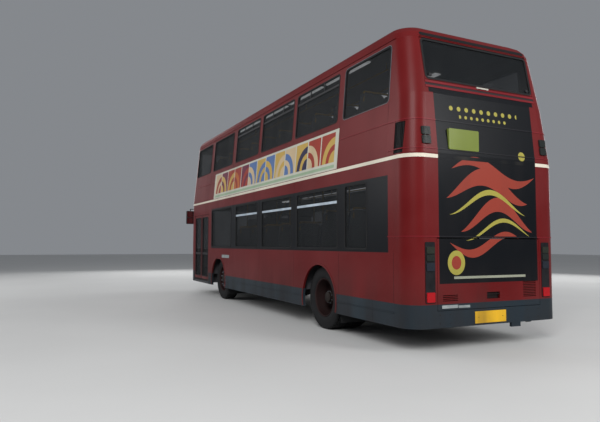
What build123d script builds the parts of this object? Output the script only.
from build123d import *
from math import cos, radians, sin
import os

os.makedirs("parts", exist_ok=True)

# Axes: X forward, Y to the nearside (the side with the door), Z up from the road. Millimetres.

# Overall sizes
LENGTH = 9950
WIDTH = 2500
CROWN = 4170
WHEELBASE = 5050
REAR_OVERHANG = 2280
MIRROR_REACH = 190
LAMP_PROUD = 20

# The rear face stands where the box round the whole bus, mirrors included, is centred on X = 0.
REAR = -(LENGTH + MIRROR_REACH - LAMP_PROUD) / 2
NOSE = REAR + LENGTH
REAR_AXLE_X = REAR + REAR_OVERHANG
FRONT_AXLE_X = REAR_AXLE_X + WHEELBASE

# Body form: each row is a level with how far the rear, the nose and the sides stand in there.
SECTIONS = [
    (200, 0, 45, 0),
    (1300, 0, 0, 0),
    (2400, 0, 20, 0),
    (3150, 75, 50, 65),
    (3900, 215, 85, 125),
    (3975, 250, 105, 140),
    (4035, 305, 140, 172),
    (4080, 380, 200, 225),
    (4113, 480, 300, 300),
    (4185, 1000, 800, 700),
]
ROOF_START = 3900
REAR_CORNER = 250
NOSE_CORNER = 380
ROOF_ARC = 8020
WALL = 45

# Levels of the body
SKIRT_BOTTOM = 300
SKIRT_TOP = 579
STRIPE_BOTTOM = 2333
STRIPE_TOP = 2379
UPPER_SILL = 3100
UPPER_HEAD = 3830
LOWER_SILL = 1230
LOWER_HEAD = 2110
GUTTER = 3900
PANEL_GAP = 0.6

# Plan positions where the panels meet, forward of the rear face
REAR_PANEL_DEPTH = 330
UPPER_REAR_DEPTH = 482
NOSE_PANEL_START = 9470
UPPER_NOSE_START = 8110

# Windows, from and to, forward of the rear face
LOWER_PANES = [(920, 1490), (1690, 3050), (3250, 4610), (4840, 6120), (6420, 7890)]
UPPER_PANES = [(500, 1620), (1800, 3240), (3380, 4810), (4970, 6330), (6560, 8000), (8220, 9480)]
CAB_PANE = (8240, 9300)
PANE_CORNER = 45
GLASS = 6
GLASS_INSET = 12
GLASS_FIT = 0.3
SEAT_FIT = 0.3
SCREEN = (1150, 2240)
SCREEN_HALF = 1080
SCREEN_POST = 25
UPPER_FRONT_HALF = 985

# Floors
FLOOR_TOP = 660
FLOOR_THICK = 40
REAR_FLOOR_TOP = 800
REAR_FLOOR_END = 3100
UPPER_FLOOR_TOP = 2460
UPPER_FLOOR_THICK = 60
BULKHEAD_X = 1360
ENGINE_COVER_TOP = 1240
FLOOR_FIT = 0.3

# Doorway
DOOR_BACK = 8130
DOOR_FRONT = 9430
DOOR_TOP = 2040
DOOR_SIDE_GAP = 12
DOOR_MEET_GAP = 8
LEAF_THICK = 38
LEAF_INSET = 5
LEAF_BOTTOM = 378
LEAF_TOP = 2030
STEP_TOP = 360
STEP_THICK = 30
STEP_IN = 555
WELL_WALL = 20
LEAF_Y = (WIDTH / 2 - LEAF_INSET - LEAF_THICK, WIDTH / 2 - LEAF_INSET)
DOOR_PIVOT_IN = 30
DOOR_PIVOT_Y = 1216
DOOR_PIVOT_R = 8
DOOR_PIVOT_REACH = 30
DOOR_PIVOTS = [DOOR_BACK + DOOR_PIVOT_IN, DOOR_FRONT - DOOR_PIVOT_IN]

# Wheels and axles
TYRE_R = 478
RIM_R = 286
RIM_W = 210
RIM_SKIN = 14
FRONT_WHEEL_Y = 1000
KINGPIN_Y = 900
KINGPIN_R = 24
TWIN_OUTER_Y = 1030
TWIN_INNER_Y = 715
RUN_FIT = 0.05
ARCH_R = 535
REAR_ARCH_Z = 445
FRONT_ARCH_R = 520
FRONT_ARCH_Z = 450
FRONT_ARCH_TOP = 940
BOX_INNER_Y = 545
BOX_WALL = 25
BOX_HALF = 570
BOX_TOP = 1030


def ahead(distance):
    """Place along X, measured forward of the rear face."""
    return REAR + distance


def form(inset):
    """Outer form of the body, drawn in by one inset all round."""
    with BuildPart() as body:
        for level, rear, nose, side in SECTIONS:
            z = level - inset if level > ROOF_START else level
            back = REAR + rear + inset
            front = NOSE - nose - inset
            with BuildSketch(Plane.XY.offset(z)) as outline:
                with Locations(((back + front) / 2, 0)):
                    Rectangle(front - back, WIDTH - 2 * side - 2 * inset)
                fillet(outline.vertices().group_by(Axis.X)[0], REAR_CORNER - inset)
                fillet(outline.vertices().group_by(Axis.X)[-1], NOSE_CORNER - inset)
        loft(ruled=True)
        with BuildSketch(Plane.YZ):
            with Locations((0, CROWN - ROOF_ARC)):
                Circle(ROOF_ARC - inset)
        extrude(amount=LENGTH, both=True, mode=Mode.INTERSECT)
    return body.part


def block(x, y, z, mode=Mode.ADD):
    """A box from three spans."""
    with Locations((x[0], y[0], z[0])):
        Box(x[1] - x[0], y[1] - y[0], z[1] - z[0], align=(Align.MIN, Align.MIN, Align.MIN), mode=mode)


def side_window(side, x, z, corner, mode=Mode.SUBTRACT, fit=0):
    """A round-cornered prism through one side wall, side +1 or -1."""
    plane = Plane(origin=(0, side * 850, 0), x_dir=(1, 0, 0), z_dir=(0, -1, 0))
    with BuildSketch(plane) as pane:
        with Locations(((x[0] + x[1]) / 2, (z[0] + z[1]) / 2)):
            RectangleRounded(x[1] - x[0] - 2 * fit, z[1] - z[0] - 2 * fit, corner - fit)
    extrude(pane.sketch, amount=-side * 600, mode=mode)


def end_window(x, depth, y, z, corner, mode=Mode.SUBTRACT, fit=0):
    """A round-cornered prism along X through an end wall."""
    with BuildSketch(Plane.YZ.offset(x)) as pane:
        with Locations(((y[0] + y[1]) / 2, (z[0] + z[1]) / 2)):
            RectangleRounded(y[1] - y[0] - 2 * fit, z[1] - z[0] - 2 * fit, corner - fit)
    extrude(pane.sketch, amount=depth, mode=mode)


def half_width(level):
    """Half the body's width at one level."""
    for (low, _, _, low_in), (high, _, _, high_in) in zip(SECTIONS, SECTIONS[1:]):
        if low <= level <= high:
            return WIDTH / 2 - low_in - (high_in - low_in) * (level - low) / (high - low)
    return WIDTH / 2


def side_sheet(side, x, z, out, deep, mode=Mode.ADD):
    """A straight length of side wall between two insets from the outer form."""
    levels = [z[0]] + [row[0] for row in SECTIONS if z[0] < row[0] < z[1]] + [z[1]]
    outer_line = [(side * (half_width(level) - out), level) for level in levels]
    inner_line = [(side * (half_width(level) - deep), level) for level in reversed(levels)]
    with BuildSketch(Plane.YZ.offset(x[0])) as section:
        Polygon(*outer_line, *inner_line, align=None)
    extrude(section.sketch, amount=x[1] - x[0], mode=mode)


def upright(place, y, radius, z, mode=Mode.ADD):
    """A round bar or bore standing along Z."""
    with BuildSketch(Plane.XY.offset(z[0])) as disc:
        with Locations((ahead(place), y)):
            Circle(radius)
    extrude(disc.sketch, amount=z[1] - z[0], mode=mode)


def save(name, part):
    """Name a piece and write it."""
    part.label = name
    export_step(part, f"parts/{name}.step")


outer = form(0)
inner = form(WALL)
shell = outer - inner
glass_back = form(GLASS_INSET + GLASS)
glass_skin = form(GLASS_INSET) - glass_back

LOW_BAND = (SKIRT_TOP + PANEL_GAP, STRIPE_BOTTOM)
HIGH_BAND = (STRIPE_TOP, GUTTER)
SIDES_X = (ahead(REAR_PANEL_DEPTH), ahead(NOSE_PANEL_START))
FULL_Y = (-WIDTH, WIDTH)
DOOR_X = (ahead(DOOR_BACK), ahead(DOOR_FRONT))

# Doorway and wheel arches, cut through the nearside and both sides
with BuildPart() as arches:
    with BuildSketch(Plane.XZ.offset(-WIDTH)):
        with Locations((REAR_AXLE_X, REAR_ARCH_Z)):
            Circle(ARCH_R)
    extrude(amount=2 * WIDTH)
    with BuildSketch(Plane.XZ.offset(-WIDTH)) as front_arch:
        with Locations((FRONT_AXLE_X, FRONT_ARCH_Z)):
            Circle(FRONT_ARCH_R)
        with Locations((FRONT_AXLE_X, FRONT_ARCH_TOP)):
            Rectangle(2 * FRONT_ARCH_R, 600, align=(Align.CENTER, Align.MIN), mode=Mode.SUBTRACT)
    extrude(amount=2 * WIDTH)

# Lower deck sides: one wall each side between the end panels
with BuildPart() as lower_sides:
    side_sheet(1, SIDES_X, LOW_BAND, 0, WALL)
    side_sheet(-1, SIDES_X, LOW_BAND, 0, WALL)
    add(arches.part, mode=Mode.SUBTRACT)
    for back, front in LOWER_PANES:
        side_window(1, (ahead(back), ahead(front)), (LOWER_SILL, LOWER_HEAD), PANE_CORNER)
        side_window(-1, (ahead(back), ahead(front)), (LOWER_SILL, LOWER_HEAD), PANE_CORNER)
    side_window(-1, (ahead(CAB_PANE[0]), ahead(CAB_PANE[1])), (LOWER_SILL, LOWER_HEAD), PANE_CORNER)
    block(DOOR_X, (900, WIDTH), (0, DOOR_TOP), mode=Mode.SUBTRACT)
    for place in DOOR_PIVOTS:
        upright(place, DOOR_PIVOT_Y, DOOR_PIVOT_R + RUN_FIT, (DOOR_TOP - 1, LEAF_TOP + DOOR_PIVOT_REACH + 5), Mode.SUBTRACT)
save("lower_sides", lower_sides.part)

# Skirt of both sides, cut by the arches and the doorway
with BuildPart() as skirt:
    side_sheet(1, SIDES_X, (SKIRT_BOTTOM, SKIRT_TOP), 0, WALL)
    side_sheet(-1, SIDES_X, (SKIRT_BOTTOM, SKIRT_TOP), 0, WALL)
    add(arches.part, mode=Mode.SUBTRACT)
    block(DOOR_X, (900, WIDTH), (0, DOOR_TOP), mode=Mode.SUBTRACT)
save("skirt", skirt.part)

# Lower rear panel with the engine bay opening
LID_HALF = 860
LID_Z = (500, 1374)
LID_GAP = 6
LID_HINGE_GAP = 12
LID_PIVOT = (10, 1357)
PIVOT_R = 4.5
PIVOT_DEPTH = 15

# Louvres cut through the lid: span across, foot of the lowest slot, number of slots
LID_LOUVRES = [((546, 776), 612, 4), ((-785, -553), 620, 10)]
SLOT = 10
SLOT_PITCH = 21
HANDLE_Y = (-143, 75)
HANDLE_Z = (617, 700)
HANDLE_DEEP = 25
RECOVERY_LUG = ((5, 40), (-499, -342), (245, 320))


def cross_pins(place, z, half, radius, mode=Mode.ADD):
    """A pair of pivot pins or bores along Y, from both ends of a lid outwards."""
    for side in (1, -1):
        with BuildSketch(Plane.XZ.offset(-side * (half - 10))) as pin:
            with Locations((place, z)):
                Circle(radius)
        extrude(pin.sketch, amount=-side * (10 + PIVOT_DEPTH), mode=mode)


with BuildPart() as lower_rear:
    add(shell)
    block((REAR - 10, ahead(REAR_PANEL_DEPTH) - PANEL_GAP), FULL_Y, (SKIRT_BOTTOM, STRIPE_BOTTOM), mode=Mode.INTERSECT)
    block((REAR - 10, REAR + 150), (-LID_HALF, LID_HALF), LID_Z, mode=Mode.SUBTRACT)
    cross_pins(REAR + LID_PIVOT[0], LID_PIVOT[1], LID_HALF - LID_GAP, PIVOT_R + RUN_FIT, Mode.SUBTRACT)
    block((ahead(RECOVERY_LUG[0][0]), ahead(RECOVERY_LUG[0][1])), RECOVERY_LUG[1], RECOVERY_LUG[2])
save("lower_rear", lower_rear.part)

with BuildPart() as engine_lid:
    add(shell)
    block((REAR - 10, REAR + 150), (-LID_HALF + LID_GAP, LID_HALF - LID_GAP),
          (LID_Z[0] + LID_GAP, LID_Z[1] - LID_HINGE_GAP), mode=Mode.INTERSECT)
    cross_pins(REAR + LID_PIVOT[0], LID_PIVOT[1], LID_HALF - LID_GAP, PIVOT_R)
    for span, foot, slots in LID_LOUVRES:
        for slot in range(slots):
            low = foot + slot * SLOT_PITCH
            block((REAR - 10, ahead(WALL) + 10), span, (low, low + SLOT), mode=Mode.SUBTRACT)
    block((REAR - 10, ahead(HANDLE_DEEP)), HANDLE_Y, HANDLE_Z, mode=Mode.SUBTRACT)
    block((ahead(3), ahead(15)), HANDLE_Y, (HANDLE_Z[1] - 34, HANDLE_Z[1] - 18))
save("engine_lid", engine_lid.part)

# Lower front panel with the windscreen opening
with BuildPart() as lower_front:
    add(shell)
    block((ahead(NOSE_PANEL_START) + PANEL_GAP, NOSE + 10), FULL_Y, (SKIRT_BOTTOM, STRIPE_BOTTOM), mode=Mode.INTERSECT)
    end_window(NOSE - 500, 600, (SCREEN_POST, SCREEN_HALF), SCREEN, PANE_CORNER)
    end_window(NOSE - 500, 600, (-SCREEN_HALF, -SCREEN_POST), SCREEN, PANE_CORNER)
save("lower_front", lower_front.part)

# Belt between the decks: the pale stripe and the rail that carries the upper body
with BuildPart() as belt_rail:
    add(shell)
    block((REAR - 10, NOSE + 10), FULL_Y, (STRIPE_BOTTOM + PANEL_GAP, STRIPE_TOP - PANEL_GAP), mode=Mode.INTERSECT)
save("belt_rail", belt_rail.part)

# Upper deck sides
with BuildPart() as upper_sides:
    for side in (1, -1):
        side_sheet(side, (ahead(UPPER_REAR_DEPTH), ahead(UPPER_NOSE_START)), HIGH_BAND, 0, WALL)
    for back, front in UPPER_PANES[:-1]:
        for side in (1, -1):
            side_window(side, (ahead(back), ahead(front)), (UPPER_SILL, UPPER_HEAD), PANE_CORNER)
save("upper_sides", upper_sides.part)

# Upper rear panel with the emergency exit opening
EXIT_HALF = 925
EXIT_Z = (3318, 3892)
EXIT_GAP = 6
EXIT_HINGE_GAP = 14
EXIT_PIVOT = (223, 3871)
EXIT_BORDER = 22

# Tall air intakes let into both rear corners
INTAKE_X = (160, 320)
INTAKE_Z = (2395, 2785)
with BuildPart() as intakes:
    add(outer)
    add(glass_back, mode=Mode.SUBTRACT)
    block((ahead(INTAKE_X[0]), ahead(INTAKE_X[1])), FULL_Y, INTAKE_Z, mode=Mode.INTERSECT)
with BuildPart() as upper_rear:
    add(shell)
    block((REAR - 10, ahead(UPPER_REAR_DEPTH) - PANEL_GAP), FULL_Y, HIGH_BAND, mode=Mode.INTERSECT)
    block((REAR - 10, ahead(REAR_PANEL_DEPTH)), (-EXIT_HALF, EXIT_HALF), EXIT_Z, mode=Mode.SUBTRACT)
    cross_pins(REAR + EXIT_PIVOT[0], EXIT_PIVOT[1], EXIT_HALF - EXIT_GAP, PIVOT_R + RUN_FIT, Mode.SUBTRACT)
    add(intakes.part, mode=Mode.SUBTRACT)
save("upper_rear", upper_rear.part)

with BuildPart() as rear_exit:
    add(shell)
    block((REAR - 10, ahead(REAR_PANEL_DEPTH)), (-EXIT_HALF + EXIT_GAP, EXIT_HALF - EXIT_GAP),
          (EXIT_Z[0] + EXIT_GAP, EXIT_Z[1] - EXIT_HINGE_GAP), mode=Mode.INTERSECT)
    end_window(REAR - 10, 500, (-EXIT_HALF + EXIT_BORDER, EXIT_HALF - EXIT_BORDER),
               (EXIT_Z[0] + EXIT_BORDER, EXIT_Z[1] - EXIT_BORDER), PANE_CORNER)
    cross_pins(REAR + EXIT_PIVOT[0], EXIT_PIVOT[1], EXIT_HALF - EXIT_GAP, PIVOT_R)
save("rear_exit", rear_exit.part)

with BuildPart() as rear_exit_glass:
    add(glass_skin)
    end_window(REAR - 10, 500, (-EXIT_HALF + EXIT_BORDER, EXIT_HALF - EXIT_BORDER),
               (EXIT_Z[0] + EXIT_BORDER, EXIT_Z[1] - EXIT_BORDER), PANE_CORNER, Mode.INTERSECT, GLASS_FIT)
save("rear_exit_glass", rear_exit_glass.part)

# Upper front panel with two panes and the blind window
BLIND_HALF = 720
BLIND_Z = (2520, 2920)
UPPER_CORNER_START = 9482
with BuildPart() as nose_sides:
    for side in (1, -1):
        side_sheet(side, (ahead(UPPER_NOSE_START) + PANEL_GAP, ahead(UPPER_CORNER_START)), HIGH_BAND, 0, WALL)
        side_window(side, (ahead(UPPER_PANES[-1][0]), ahead(UPPER_PANES[-1][1])), (UPPER_SILL, UPPER_HEAD), PANE_CORNER)
with BuildPart() as upper_front:
    add(shell)
    block((ahead(UPPER_CORNER_START), NOSE + 10), FULL_Y, HIGH_BAND, mode=Mode.INTERSECT)
    end_window(NOSE - 330, 600, (SCREEN_POST, UPPER_FRONT_HALF), (UPPER_SILL, UPPER_HEAD), PANE_CORNER)
    end_window(NOSE - 330, 600, (-UPPER_FRONT_HALF, -SCREEN_POST), (UPPER_SILL, UPPER_HEAD), PANE_CORNER)
    end_window(NOSE - 330, 600, (-BLIND_HALF, BLIND_HALF), BLIND_Z, PANE_CORNER)
    add(nose_sides.part)
save("upper_front", upper_front.part)

# Roof, from the gutter up
with BuildPart() as roof:
    add(shell)
    block((REAR - 10, NOSE + 10), FULL_Y, (GUTTER + PANEL_GAP, CROWN + 100), mode=Mode.INTERSECT)
save("roof", roof.part)



def side_pane(side, x, z):
    """A flat pane seated in a side window opening."""
    with BuildPart() as pane:
        side_sheet(side, x, z, GLASS_INSET, GLASS_INSET + GLASS)
        side_window(side, x, z, PANE_CORNER, Mode.INTERSECT, GLASS_FIT)
    return pane.part


def end_panes(half, z):
    """The two panes of a nose window, cut from the curved glass form."""
    with BuildPart() as panes:
        add(glass_skin)
        with BuildSketch(Plane.YZ.offset(NOSE - 330)) as outline:
            for side in (1, -1):
                with Locations((side * (half + SCREEN_POST) / 2, (z[0] + z[1]) / 2)):
                    RectangleRounded(half - SCREEN_POST - 2 * GLASS_FIT, z[1] - z[0] - 2 * GLASS_FIT,
                                     PANE_CORNER - GLASS_FIT)
        extrude(outline.sketch, amount=600, mode=Mode.INTERSECT)
    return panes.part


# Flat glass of both sides, and the curved glass of the nose
with BuildPart() as side_glass:
    for panes, z in ((LOWER_PANES, (LOWER_SILL, LOWER_HEAD)), (UPPER_PANES, (UPPER_SILL, UPPER_HEAD))):
        for back, front in panes:
            for side in (1, -1):
                add(side_pane(side, (ahead(back), ahead(front)), z))
    add(side_pane(-1, (ahead(CAB_PANE[0]), ahead(CAB_PANE[1])), (LOWER_SILL, LOWER_HEAD)))
save("side_glass", side_glass.part)

with BuildPart() as front_glass:
    add(end_panes(SCREEN_HALF, SCREEN))
    add(end_panes(UPPER_FRONT_HALF, (UPPER_SILL, UPPER_HEAD)))
save("front_glass", front_glass.part)

# Floors: both decks follow the inside of the body with a small fit all round
cabin = form(WALL + FLOOR_FIT)
INSIDE_Y = WIDTH / 2 - WALL - FLOOR_FIT

with BuildPart() as lower_floor:
    add(cabin)
    block((ahead(REAR_FLOOR_END) - 20, NOSE), FULL_Y, (FLOOR_TOP - FLOOR_THICK, FLOOR_TOP), mode=Mode.INTERSECT)
    block((ahead(REAR_FLOOR_END) - 20, ahead(REAR_FLOOR_END)), (-INSIDE_Y, INSIDE_Y),
          (FLOOR_TOP - FLOOR_THICK, REAR_FLOOR_TOP))
    block((ahead(BULKHEAD_X), ahead(REAR_FLOOR_END)), (-INSIDE_Y, INSIDE_Y),
          (REAR_FLOOR_TOP - FLOOR_THICK, REAR_FLOOR_TOP))
    block((ahead(BULKHEAD_X), ahead(BULKHEAD_X) + 30), (-INSIDE_Y, INSIDE_Y),
          (REAR_FLOOR_TOP - FLOOR_THICK, ENGINE_COVER_TOP))
    block((ahead(REAR_CORNER), ahead(BULKHEAD_X) + 30), (-INSIDE_Y, INSIDE_Y),
          (ENGINE_COVER_TOP - 30, ENGINE_COVER_TOP))
    for axle in (REAR_AXLE_X, FRONT_AXLE_X):
        for side in (1, -1):
            outer_y = sorted((side * (BOX_INNER_Y - BOX_WALL), side * INSIDE_Y))
            hollow_y = sorted((side * BOX_INNER_Y, side * WIDTH))
            block((axle - BOX_HALF - BOX_WALL, axle + BOX_HALF + BOX_WALL), outer_y, (560, BOX_TOP))
            block((axle - BOX_HALF, axle + BOX_HALF), hollow_y, (0, BOX_TOP - BOX_WALL), mode=Mode.SUBTRACT)
    block(DOOR_X, (STEP_IN, WIDTH), (0, FLOOR_TOP + 1), mode=Mode.SUBTRACT)
    for joint in (ahead(REAR_FLOOR_END), *DOOR_X):
        block((joint, joint + PANEL_GAP), FULL_Y, (FLOOR_TOP - FLOOR_THICK - 1, FLOOR_TOP + 1), mode=Mode.SUBTRACT)
save("lower_floor", lower_floor.part)

# Entrance well: a tread, its edge board over the skirt, a riser and two cheeks, seated under the floor
with BuildPart() as entrance_well:
    well_top = FLOOR_TOP - FLOOR_THICK - FLOOR_FIT
    edge_y = INSIDE_Y - WELL_WALL
    block(DOOR_X, (STEP_IN - WELL_WALL, edge_y - FLOOR_FIT), (STEP_TOP - STEP_THICK, STEP_TOP))
    block((DOOR_X[0] + PANEL_GAP, DOOR_X[1] - PANEL_GAP), (edge_y, WIDTH / 2 - LEAF_INSET), (SKIRT_BOTTOM, STEP_TOP))
    block(DOOR_X, (STEP_IN - WELL_WALL, STEP_IN), (STEP_TOP + FLOOR_FIT, well_top))
    for cheek_x in ((DOOR_X[0] - WELL_WALL, DOOR_X[0] - FLOOR_FIT), (DOOR_X[1] + FLOOR_FIT, DOOR_X[1] + WELL_WALL)):
        block(cheek_x, (STEP_IN - WELL_WALL, INSIDE_Y), (STEP_TOP - STEP_THICK, well_top))
    for place in DOOR_PIVOTS:
        upright(place, DOOR_PIVOT_Y, DOOR_PIVOT_R + RUN_FIT, (LEAF_BOTTOM - DOOR_PIVOT_REACH - 5, STEP_TOP + 1),
                Mode.SUBTRACT)
save("entrance_well", entrance_well.part)

# Staircase: eight risers up the offside over the front wheel box
STAIR_START = 8400
STAIR_RUN = 220
STAIR_RISERS = 8
STAIR_RISE = (UPPER_FLOOR_TOP - FLOOR_TOP) / STAIR_RISERS
STAIR_Y = (-1190, -620)
STRINGER = 20
STAIR_END = STAIR_START - STAIR_RUN * (STAIR_RISERS - 1)
STAIR_HEAD_X = 8300
UPPER_FLOOR_UNDER = UPPER_FLOOR_TOP - UPPER_FLOOR_THICK

with BuildPart() as upper_floor:
    add(cabin)
    block((REAR, NOSE), FULL_Y, (UPPER_FLOOR_UNDER, UPPER_FLOOR_TOP), mode=Mode.INTERSECT)
    block((ahead(STAIR_END) - 20, ahead(STAIR_HEAD_X)), (-WIDTH, STAIR_Y[1] + STRINGER), (2300, 2600), mode=Mode.SUBTRACT)
    block((ahead(STAIR_END) + 40, ahead(STAIR_HEAD_X) + 25), (STAIR_Y[1] + STRINGER, STAIR_Y[1] + STRINGER + 25),
          (UPPER_FLOOR_TOP - 20, UPPER_FLOOR_TOP + 850))
    block((ahead(STAIR_HEAD_X), ahead(STAIR_HEAD_X) + 25), (-1080, STAIR_Y[1] + STRINGER + 25),
          (UPPER_FLOOR_TOP - 20, UPPER_FLOOR_TOP + 850))
save("upper_floor", upper_floor.part)

with BuildPart() as staircase:
    for step in range(1, STAIR_RISERS):
        front = ahead(STAIR_START - STAIR_RUN * (step - 1))
        top = FLOOR_TOP + STAIR_RISE * step
        under = max(FLOOR_TOP + FLOOR_FIT, top - STAIR_RISE - 30)
        block((front - STAIR_RUN, front), STAIR_Y, (top - 30, top))
        block((front - 20, front), STAIR_Y, (under, top))
    block((ahead(STAIR_END) - 20 + FLOOR_FIT, ahead(STAIR_END)), STAIR_Y,
          (UPPER_FLOOR_TOP - STAIR_RISE - 30, UPPER_FLOOR_TOP))
    slope = STAIR_RISE / STAIR_RUN
    foot = ahead(STAIR_START) + 20
    base = FLOOR_TOP + FLOOR_FIT
    under = UPPER_FLOOR_UNDER - FLOOR_FIT
    with BuildSketch(Plane.XZ.offset(-STAIR_Y[1])) as stringer:
        Polygon((foot, base), (foot, base + 300), (foot - 120, base + 420), (foot - 120 - (under - base - 420) / slope, under),
                (foot - 100 - (under - base) / slope, under), (foot - 100, base), align=None)
    extrude(amount=-STRINGER)
save("staircase", staircase.part)

# Chassis: channel rails in two heights, with cross-members, outriggers, springs and tank seated between them
RAIL_Y = (380, 440)
RAIL_H = 160
RAIL_TOP = FLOOR_TOP - FLOOR_THICK - FLOOR_FIT
RAIL_BOTTOM = RAIL_TOP - RAIL_H
HIGH_RAIL_TOP = REAR_FLOOR_TOP - FLOOR_THICK - FLOOR_FIT
HIGH_RAIL_BOTTOM = RAIL_TOP + FLOOR_FIT
RAIL_SKIN = 10
LOW_RAIL_X = (2960, 9400)
HIGH_RAIL_X = (330, 3060)
CROSS_MEMBERS = [(1450, 640, 740), (3040, 470, 600), (4700, 470, 600), (6250, 470, 600), (8200, 470, 600), (9300, 470, 600)]
OUTRIGGERS = [3300, 4000, 4750, 5500, 6250, 8040]
ENGINE_X = (330, 1280)
ENGINE_Z = (420, 1130)
SPRING_Y = (375, 445)
SPRING_HALF = 560
TOW_EYE_X = 9780
TOW_EYE_Z = 440
TOW_EYE_T = 40
TOW_EYE_R = 21
OUTRIGGER_HALF = 4
TANK = ((4750 + OUTRIGGER_HALF + FLOOR_FIT, 5500 - OUTRIGGER_HALF - FLOOR_FIT), (-1120, -520), (330, 585))
with BuildPart() as chassis:
    for side in (1, -1):
        rail_y = sorted((side * RAIL_Y[0], side * RAIL_Y[1]))
        web_y = sorted((side * RAIL_Y[0], side * (RAIL_Y[1] - RAIL_SKIN)))
        spring_y = sorted((side * SPRING_Y[0], side * SPRING_Y[1]))
        arm_y = sorted((side * (RAIL_Y[1] + FLOOR_FIT), side * INSIDE_Y))
        block((ahead(LOW_RAIL_X[0]), ahead(LOW_RAIL_X[1])), rail_y, (RAIL_BOTTOM, RAIL_TOP))
        block((ahead(LOW_RAIL_X[0]) + 30, ahead(LOW_RAIL_X[1]) + 1), web_y,
              (RAIL_BOTTOM + RAIL_SKIN, RAIL_TOP - RAIL_SKIN), mode=Mode.SUBTRACT)
        block((ahead(HIGH_RAIL_X[0]), ahead(HIGH_RAIL_X[1])), rail_y, (HIGH_RAIL_BOTTOM, HIGH_RAIL_TOP))
        block((ahead(HIGH_RAIL_X[0]) - 1, ahead(HIGH_RAIL_X[1]) - 100), web_y,
              (HIGH_RAIL_BOTTOM + RAIL_SKIN, HIGH_RAIL_TOP - RAIL_SKIN), mode=Mode.SUBTRACT)
        for axle, low, high, hanger_top in ((REAR_AXLE_X, 340, 400, HIGH_RAIL_BOTTOM - FLOOR_FIT),
                                            (FRONT_AXLE_X, 370, 415, RAIL_BOTTOM - FLOOR_FIT)):
            block((axle - SPRING_HALF, axle + SPRING_HALF), spring_y, (low, high))
            for end in (-1, 1):
                middle = axle + end * (SPRING_HALF - 20)
                block((middle - 20, middle + 20), spring_y, (low, hanger_top))
        for place in OUTRIGGERS:
            block((ahead(place) - OUTRIGGER_HALF, ahead(place) + OUTRIGGER_HALF), arm_y, (480, RAIL_TOP))
    for place, low, high in CROSS_MEMBERS:
        reach = RAIL_Y[1] - RAIL_SKIN - FLOOR_FIT
        block((ahead(place) - 40, ahead(place) + 40), (-reach, reach), (low, high))
    for place in (ENGINE_X[0] + 100, ENGINE_X[1] - 100):
        block((ahead(place) - 40, ahead(place) + 40), (-RAIL_Y[1], RAIL_Y[1]),
              (360, HIGH_RAIL_BOTTOM - FLOOR_FIT))
        block((ahead(place) - 41, ahead(place) + 41), (-RAIL_Y[0], RAIL_Y[0]),
              (ENGINE_Z[0] - FLOOR_FIT, HIGH_RAIL_BOTTOM), mode=Mode.SUBTRACT)
    block((ahead(TANK[0][0]), ahead(TANK[0][1])), TANK[1], TANK[2])
    block((ahead(LOW_RAIL_X[1]) - 140, ahead(TOW_EYE_X) + 40), (-40, 40), (TOW_EYE_Z, TOW_EYE_Z + TOW_EYE_T))
    with BuildSketch(Plane.XY.offset(TOW_EYE_Z)):
        with Locations((ahead(TOW_EYE_X), 0)):
            Circle(TOW_EYE_R)
    extrude(amount=TOW_EYE_T, mode=Mode.SUBTRACT)
save("chassis", chassis.part)

with BuildPart() as engine:
    block((ahead(ENGINE_X[0]), ahead(ENGINE_X[1])), (-360, 360), ENGINE_Z)
save("engine", engine.part)

# Front axle: a dropped beam with an eye at each end round the kingpin
EYE_Z = (410, 545)
EYE_R = 36
BEAM_LOW = (275, 365)
BEAM_HALF = 35
with BuildPart() as front_beam:
    with BuildSketch(Plane.YZ.offset(FRONT_AXLE_X - BEAM_HALF)):
        Polygon((-700, BEAM_LOW[0]), (700, BEAM_LOW[0]), (800, EYE_Z[0]), (870, EYE_Z[0]), (870, EYE_Z[1]),
                (800, EYE_Z[1]), (630, BEAM_LOW[1]), (-630, BEAM_LOW[1]), (-800, EYE_Z[1]), (-870, EYE_Z[1]),
                (-870, EYE_Z[0]), (-800, EYE_Z[0]), align=None)
    extrude(amount=2 * BEAM_HALF)
    with BuildSketch(Plane.XY.offset(EYE_Z[0])):
        with Locations((FRONT_AXLE_X, KINGPIN_Y), (FRONT_AXLE_X, -KINGPIN_Y)):
            Circle(EYE_R)
    extrude(amount=EYE_Z[1] - EYE_Z[0])
    with BuildSketch(Plane.XY.offset(EYE_Z[0])):
        with Locations((FRONT_AXLE_X, KINGPIN_Y), (FRONT_AXLE_X, -KINGPIN_Y)):
            Circle(KINGPIN_R + RUN_FIT)
    extrude(amount=EYE_Z[1] - EYE_Z[0], mode=Mode.SUBTRACT)
    for side in (1, -1):
        pad_y = sorted((side * SPRING_Y[0], side * SPRING_Y[1]))
        block((FRONT_AXLE_X - 60, FRONT_AXLE_X + 60), pad_y, (BEAM_LOW[0] - 10, 370 - FLOOR_FIT))

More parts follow.
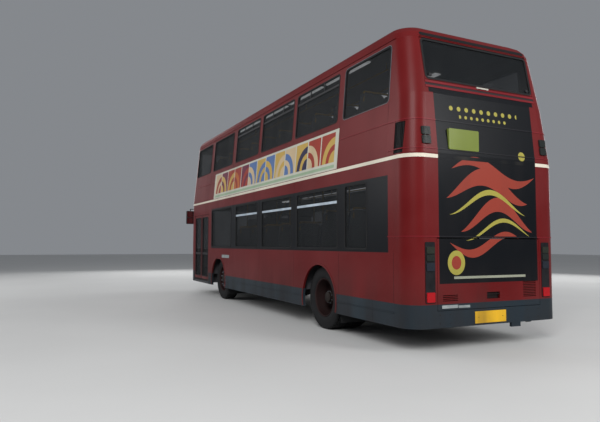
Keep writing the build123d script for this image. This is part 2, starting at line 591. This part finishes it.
# Steering knuckles: yoke, kingpin, stub axle and steering arm
STUB_R = 40
YOKE_GAP = 6
PLATE_Y = (942, 962)
STUB_END = 1090
for name, side in (("knuckle_left", 1), ("knuckle_right", -1)):
    with BuildPart() as knuckle:
        with BuildSketch(Plane.XY.offset(355)):
            with Locations((FRONT_AXLE_X, side * KINGPIN_Y)):
                Circle(KINGPIN_R)
        extrude(amount=245)
        for z in ((355, EYE_Z[0] - YOKE_GAP), (EYE_Z[1] + YOKE_GAP, 600)):
            with BuildSketch(Plane.XY.offset(z[0])):
                with Locations((FRONT_AXLE_X, side * KINGPIN_Y)):
                    Circle(EYE_R)
            extrude(amount=z[1] - z[0])
            block((FRONT_AXLE_X - EYE_R, FRONT_AXLE_X + EYE_R), sorted((side * KINGPIN_Y, side * PLATE_Y[1])), z)
        block((FRONT_AXLE_X - 60, FRONT_AXLE_X + 60), sorted((side * PLATE_Y[0], side * PLATE_Y[1])), (355, 600))
        with BuildSketch(Plane.XZ.offset(-side * (PLATE_Y[0] + 5))):
            with Locations((FRONT_AXLE_X, TYRE_R)):
                Circle(STUB_R)
        extrude(amount=-side * (STUB_END - PLATE_Y[0] - 5))
        block((FRONT_AXLE_X - 200, FRONT_AXLE_X), sorted((side * (KINGPIN_Y - 36), side * KINGPIN_Y)), (365, 400))
    save(name, knuckle.part)

# Front wheels: rim barrel, outer disc and hub, running on the stub axle
RIM_FIT = 0.3
HUB_IN = 972
for name, side in (("front_wheel_left", 1), ("front_wheel_right", -1)):
    with BuildPart() as wheel:
        with BuildSketch(Plane.YZ.offset(FRONT_AXLE_X)):
            with Locations((side * FRONT_WHEEL_Y, TYRE_R + RIM_R - RIM_SKIN / 2)):
                Rectangle(RIM_W, RIM_SKIN)
            for y0, y1, r0, r1 in ((1050, 1066, 95, RIM_R - 4), (HUB_IN, 1130, STUB_R + RUN_FIT, 100),
                                   (STUB_END + 5, 1130, 0, 100), (HUB_IN, 1055, 150, 190)):
                with Locations((side * (y0 + y1) / 2, TYRE_R + (r0 + r1) / 2)):
                    Rectangle(y1 - y0, r1 - r0)
            with Locations((side * (HUB_IN + 15), TYRE_R + 125)):
                Rectangle(16, 60)
        revolve(axis=Axis((FRONT_AXLE_X, 0, TYRE_R), (0, 1, 0)))
    save(name, wheel.part)

# Rear axle: banjo casing and tube with a spindle at each end
SPINDLE_R = 45
CASE_END = 790
SPINDLE_END = 1060
with BuildPart() as rear_casing:
    with BuildSketch(Plane.XZ.offset(-CASE_END)):
        with Locations((REAR_AXLE_X, TYRE_R)):
            Circle(68)
    extrude(amount=2 * CASE_END)
    with BuildSketch(Plane.XZ.offset(-SPINDLE_END)):
        with Locations((REAR_AXLE_X, TYRE_R)):
            Circle(SPINDLE_R)
    extrude(amount=2 * SPINDLE_END)
    with BuildSketch(Plane.XZ.offset(-130)):
        with Locations((REAR_AXLE_X, TYRE_R)):
            Circle(185)
    extrude(amount=260)
    for side in (1, -1):
        pad_y = sorted((side * SPRING_Y[0], side * SPRING_Y[1]))
        block((REAR_AXLE_X - 60, REAR_AXLE_X + 60), pad_y, (400 + FLOOR_FIT, TYRE_R))
save("axles", Compound(children=[front_beam.part, rear_casing.part]))

# Rear twin wheels: one body a side, two tyres on a common barrel and disc
for name, side in (("rear_wheels_left", 1), ("rear_wheels_right", -1)):
    with BuildPart() as twins:
        with BuildSketch(Plane.YZ.offset(REAR_AXLE_X)):
            for y0, y1, r0, r1 in ((TWIN_INNER_Y - RIM_W / 2, TWIN_OUTER_Y + RIM_W / 2, RIM_R - RIM_SKIN, RIM_R),
                                   (860, 885, 95, RIM_R - 4), (CASE_END + 6, 1100, SPINDLE_R + RUN_FIT, 105),
                                   (SPINDLE_END + 5, 1100, 0, 105), (650, 870, 190, 205)):
                with Locations((side * (y0 + y1) / 2, TYRE_R + (r0 + r1) / 2)):
                    Rectangle(y1 - y0, r1 - r0)
        revolve(axis=Axis((REAR_AXLE_X, 0, TYRE_R), (0, 1, 0)))
    save(name, twins.part)

# Tyres: carcass rings seated on the rims, one a front wheel and two a rear hub
TYRES = [
    ("front_tyre_left", FRONT_AXLE_X, (FRONT_WHEEL_Y,)),
    ("front_tyre_right", FRONT_AXLE_X, (-FRONT_WHEEL_Y,)),
    ("rear_tyres_left", REAR_AXLE_X, (TWIN_INNER_Y, TWIN_OUTER_Y)),
    ("rear_tyres_right", REAR_AXLE_X, (-TWIN_INNER_Y, -TWIN_OUTER_Y)),
]
BEAD = RIM_R + RIM_FIT
TYRE_W = 275

for name, axle, rows in TYRES:
    with BuildPart() as tyre:
        for y in rows:
            with BuildSketch(Plane.YZ.offset(axle)):
                with Locations((y, TYRE_R + (BEAD + TYRE_R) / 2)):
                    Rectangle(TYRE_W, TYRE_R - BEAD)
            revolve(axis=Axis((axle, 0, TYRE_R), (0, 1, 0)))
    save(name, tyre.part)

# Door leaves, hinged on the jambs
DOOR_MIDDLE = (DOOR_BACK + DOOR_FRONT) / 2
LEAVES = [
    ("door_leaf_rear", DOOR_BACK + DOOR_SIDE_GAP, DOOR_MIDDLE - DOOR_MEET_GAP / 2),
    ("door_leaf_front", DOOR_MIDDLE + DOOR_MEET_GAP / 2, DOOR_FRONT - DOOR_SIDE_GAP),
]
LEAF_FRAME = 60
for name, back, front in LEAVES:
    opening_x = (ahead(back) + LEAF_FRAME, ahead(front) - LEAF_FRAME)
    opening_z = (LEAF_BOTTOM + LEAF_FRAME + 40, LEAF_TOP - LEAF_FRAME)
    with BuildPart() as leaf:
        block((ahead(back), ahead(front)), LEAF_Y, (LEAF_BOTTOM, LEAF_TOP))
        side_window(1, opening_x, opening_z, PANE_CORNER)
        pivot = DOOR_PIVOTS[0] if back < DOOR_MIDDLE - 100 else DOOR_PIVOTS[1]
        upright(pivot, DOOR_PIVOT_Y, DOOR_PIVOT_R, (LEAF_BOTTOM - DOOR_PIVOT_REACH, LEAF_BOTTOM + 20))
        upright(pivot, DOOR_PIVOT_Y, DOOR_PIVOT_R, (LEAF_TOP - 20, LEAF_TOP + DOOR_PIVOT_REACH))
    save(name, leaf.part)
    with BuildPart() as leaf_glass:
        block((ahead(back), ahead(front)), (LEAF_Y[0] + 16, LEAF_Y[0] + 16 + GLASS), (LEAF_BOTTOM, LEAF_TOP))
        side_window(1, opening_x, opening_z, PANE_CORNER, Mode.INTERSECT, GLASS_FIT)
    save(name.replace("leaf", "glass"), leaf_glass.part)

# Seats: an L-shaped shell on a pedestal, in rows
CUSHION_H = 450
ROW_NEAR = (330, 1170)
ROW_OFF = (-1170, -330)
UP_NEAR = (270, 1060)
UP_OFF = (-1060, -270)
BOX_LEGS = ((-1050, BOX_TOP), (-420, REAR_FLOOR_TOP), (420, REAR_FLOOR_TOP), (1050, BOX_TOP))
LOWER_SEATS = [
    (1800, (-1150, 1150), REAR_FLOOR_TOP, BOX_LEGS),
    (2560, ROW_NEAR, REAR_FLOOR_TOP, BOX_LEGS[2:]),
    (2560, ROW_OFF, REAR_FLOOR_TOP, BOX_LEGS[:2]),
]
LOWER_ROWS = (3500, 4240, 4980, 5720, 6460)
UPPER_NEAR_ROWS = (1660, 2400, 3140, 3880, 4620, 5360, 6100, 6860, 7600, 8340, 9080)
UPPER_OFF_ROWS = (1660, 2400, 3140, 3880, 4620, 5360, 6100, 9080)


def seat(place, y, floor, legs):
    """One bench facing forward: cushion and back in one profile, on its legs."""
    x = ahead(place)
    top = floor + CUSHION_H
    with BuildSketch(Plane.XZ.offset(-y[1])) as profile:
        Polygon((x + 210, top - 90), (x + 210, top), (x - 140, top - 20), (x - 270, top + 560), (x - 340, top + 560),
                (x - 230, top - 90), align=None)
    extrude(profile.sketch, amount=y[1] - y[0])
    for leg, foot in legs:
        block((x - 60, x + 60), (leg - 20, leg + 20), (foot + FLOOR_FIT, top - 85))


def legs_on(y, floor):
    """Two legs under a bench on one floor level."""
    return ((y[0] + 150, floor), (y[1] - 150, floor))


with BuildPart() as lower_seats:
    for place, y, floor, legs in LOWER_SEATS:
        seat(place, y, floor, legs)
    for place in LOWER_ROWS:
        seat(place, ROW_NEAR, FLOOR_TOP, legs_on(ROW_NEAR, FLOOR_TOP))
        seat(place, ROW_OFF, FLOOR_TOP, legs_on(ROW_OFF, FLOOR_TOP))
save("lower_seats", lower_seats.part)

UP_WIDE = (-1050, 1050)
with BuildPart() as upper_seats:
    seat(900, UP_WIDE, UPPER_FLOOR_TOP, legs_on(UP_WIDE, UPPER_FLOOR_TOP))
    for place in UPPER_NEAR_ROWS:
        seat(place, UP_NEAR, UPPER_FLOOR_TOP, legs_on(UP_NEAR, UPPER_FLOOR_TOP))
    for place in UPPER_OFF_ROWS:
        seat(place, UP_OFF, UPPER_FLOOR_TOP, legs_on(UP_OFF, UPPER_FLOOR_TOP))
save("upper_seats", upper_seats.part)

# Driver's place on the offside
CAB_BACK = 8440
DRIVER_Y = (-930, -470)
with BuildPart() as driver_seat:
    seat(8860, DRIVER_Y, FLOOR_TOP, legs_on(DRIVER_Y, FLOOR_TOP))
save("driver_seat", driver_seat.part)

WHEEL_AT = (9240, -700, 1290)
COLUMN = Plane(origin=(ahead(WHEEL_AT[0]), WHEEL_AT[1], WHEEL_AT[2]), x_dir=(0, 1, 0), z_dir=(0.5, 0, -0.866))
COLUMN_LENGTH = 110
with BuildPart() as cab:
    block((ahead(CAB_BACK), ahead(CAB_BACK) + 25), (-INSIDE_Y, -180), (FLOOR_TOP + FLOOR_FIT, 2000))
    block((ahead(CAB_BACK), ahead(9500)), (-205, -180), (FLOOR_TOP + FLOOR_FIT, 1350))
    block((ahead(9380), ahead(9620)), (-1100, -180), (FLOOR_TOP + FLOOR_FIT, 1130))
    block((ahead(9330), ahead(9500)), (-960, -440), (960, 1180))
    with BuildSketch(COLUMN.offset(COLUMN_LENGTH + SEAT_FIT)):
        Circle(32)
    extrude(amount=110)
save("cab", cab.part)

with BuildPart() as steering_wheel:
    with BuildSketch(Plane(origin=(ahead(WHEEL_AT[0]), WHEEL_AT[1], WHEEL_AT[2]), x_dir=(0, 1, 0), z_dir=(-0.5, 0, 0.866))) as face:
        Circle(235)
        Circle(208, mode=Mode.SUBTRACT)
        Rectangle(430, 30)
        Circle(50)
    extrude(amount=12, both=True)
    with BuildSketch(COLUMN):
        Circle(25)
    extrude(amount=COLUMN_LENGTH)
save("steering_wheel", steering_wheel.part)

# Handrails: poles from floor to ceiling
POLES = [(3900, 290, 0), (3900, -290, 0), (5380, 290, 0), (5380, -290, 0), (7960, 290, 0), (8040, -560, 0)]
with BuildPart() as handrails:
    for place, y, _ in POLES:
        with BuildSketch(Plane.XY.offset(FLOOR_TOP + FLOOR_FIT)):
            with Locations((ahead(place), y)):
                Circle(16)
        extrude(amount=UPPER_FLOOR_UNDER - FLOOR_TOP - 2 * FLOOR_FIT)
save("handrails", handrails.part)

# Lamps follow the panels' form: low housings with lenses that stand further out
HOUSING_PROUD = 8
HOUSINGS_REAR = [((895, 1036), (600, 1320)), ((920, 1060), (2490, 2720))]
HOUSINGS_FRONT = [((690, 1010), (590, 810)), ((690, 910), (450, 560))]
LENSES_REAR = [
    ((907, 1024), (610, 725)),
    ((907, 1024), (977, 1073)),
    ((907, 1024), (1095, 1172)),
    ((907, 1024), (1182, 1264)),
    ((930, 1050), (2500, 2600)),
    ((930, 1050), (2610, 2710)),
]
LENSES_FRONT = [((702, 845), (602, 798)), ((860, 998), (602, 798)), ((702, 898), (462, 548))]


def lamp_prisms(rear_rows, front_rows):
    """Round-cornered prisms through the rear and the nose, the same on both sides."""
    with BuildPart() as prisms:
        for y, z in rear_rows:
            end_window(REAR - 50, 400, y, z, 12, Mode.ADD)
            end_window(REAR - 50, 400, (-y[1], -y[0]), z, 12, Mode.ADD)
        for y, z in front_rows:
            end_window(NOSE - 300, 400, y, z, 12, Mode.ADD)
            end_window(NOSE - 300, 400, (-y[1], -y[0]), z, 12, Mode.ADD)
    return prisms.part


skin_seat = form(-SEAT_FIT)
with BuildPart() as lenses:
    add(form(-LAMP_PROUD))
    add(lamp_prisms(LENSES_REAR, LENSES_FRONT), mode=Mode.INTERSECT)
with BuildPart() as lamps:
    add(form(-HOUSING_PROUD))
    add(lamp_prisms(HOUSINGS_REAR, HOUSINGS_FRONT), mode=Mode.INTERSECT)
    add(lenses.part)
    add(skin_seat, mode=Mode.SUBTRACT)
save("lamps", lamps.part)

# Mirrors on arms ahead of the nose
MIRROR_Y = (1100, 1330)
MIRROR_Z = (1850, 2230)
MIRROR_T = 60
with BuildPart() as mirrors:
    for side in (1, -1):
        block((NOSE + MIRROR_REACH - MIRROR_T, NOSE + MIRROR_REACH), sorted((side * MIRROR_Y[0], side * MIRROR_Y[1])), MIRROR_Z)
        block((NOSE - 40, NOSE + MIRROR_REACH - 20), sorted((side * 780, side * 810)), (2260, 2290))
        block((NOSE + MIRROR_REACH - 50, NOSE + MIRROR_REACH - 20), sorted((side * 780, side * 1230)), (2260, 2290))
        block((NOSE + MIRROR_REACH - 50, NOSE + MIRROR_REACH - 20), sorted((side * 1200, side * 1230)), (2200, 2290))
    add(skin_seat, mode=Mode.SUBTRACT)
save("mirrors", mirrors.part)

# Blank sign panels: the front blind in its window, the rear route box, and a plate at each end
with BuildPart() as front_blind:
    add(glass_back)
    add(inner, mode=Mode.SUBTRACT)
    end_window(NOSE - 330, 600, (-BLIND_HALF, BLIND_HALF), BLIND_Z, PANE_CORNER, Mode.INTERSECT, GLASS_FIT)

ROUTE_Y = (175, 655)
ROUTE_Z = (2455, 2714)
PLATE_T = 4
REAR_PLATE = ((-238, 278), (324, 470))
FRONT_PLATE = ((-260, 260), (345, 456))
with BuildPart() as outer_signs:
    with BuildSketch(Plane.YZ.offset(REAR - PLATE_T - 4)):
        with Locations(((ROUTE_Y[0] + ROUTE_Y[1]) / 2, (ROUTE_Z[0] + ROUTE_Z[1]) / 2)):
            RectangleRounded(ROUTE_Y[1] - ROUTE_Y[0], ROUTE_Z[1] - ROUTE_Z[0], 15)
    extrude(amount=60)
    block((REAR - PLATE_T, REAR), REAR_PLATE[0], REAR_PLATE[1])
    block((NOSE - 60, NOSE - 30), FRONT_PLATE[0], FRONT_PLATE[1])
    add(skin_seat, mode=Mode.SUBTRACT)
save("sign_panels", Compound(children=[front_blind.part, outer_signs.part]))

# Raised mouldings round the body and the side advert frames
SEAMS = [(1379, 1395), (2442, 2454), (2802, 2818)]
LEDGES = [(3222, 3250), (3282, 3310)]
LEDGE_HALF = 930
RIB = (460, 474)
SEAM_REACH = 450
ADVERT_X = (1710, 7750)
ADVERT_Z = (2386, 2990)
with BuildPart() as moulding_slabs:
    for z in SEAMS:
        block((REAR - 50, ahead(SEAM_REACH)), FULL_Y, z)
    for z in LEDGES:
        block((REAR - 50, ahead(SEAM_REACH)), (-LEDGE_HALF, LEDGE_HALF), z)
    block((ahead(REAR_PANEL_DEPTH), ahead(NOSE_PANEL_START)), FULL_Y, RIB)
    block((ahead(SEAM_REACH) + 5, ahead(NOSE_PANEL_START)), FULL_Y, (2806, 2818))
    add(arches.part, mode=Mode.SUBTRACT)
    block(DOOR_X, (900, WIDTH), (0, DOOR_TOP), mode=Mode.SUBTRACT)
    side_window(1, (ahead(ADVERT_X[0]) - 5, ahead(ADVERT_X[1]) + 5), (2300, 2995), 5)
    side_window(-1, (ahead(ADVERT_X[0]) - 5, ahead(ADVERT_X[1]) + 5), (2300, 2995), 5)
with BuildPart() as mouldings:
    add(form(-6))
    add(skin_seat, mode=Mode.SUBTRACT)
    add(moulding_slabs.part, mode=Mode.INTERSECT)

with BuildPart() as advert_boards:
    for side in (1, -1):
        side_sheet(side, (ahead(ADVERT_X[0]), ahead(ADVERT_X[1])), ADVERT_Z, -3, -SEAT_FIT)
save("mouldings", Compound(children=[mouldings.part, advert_boards.part]))
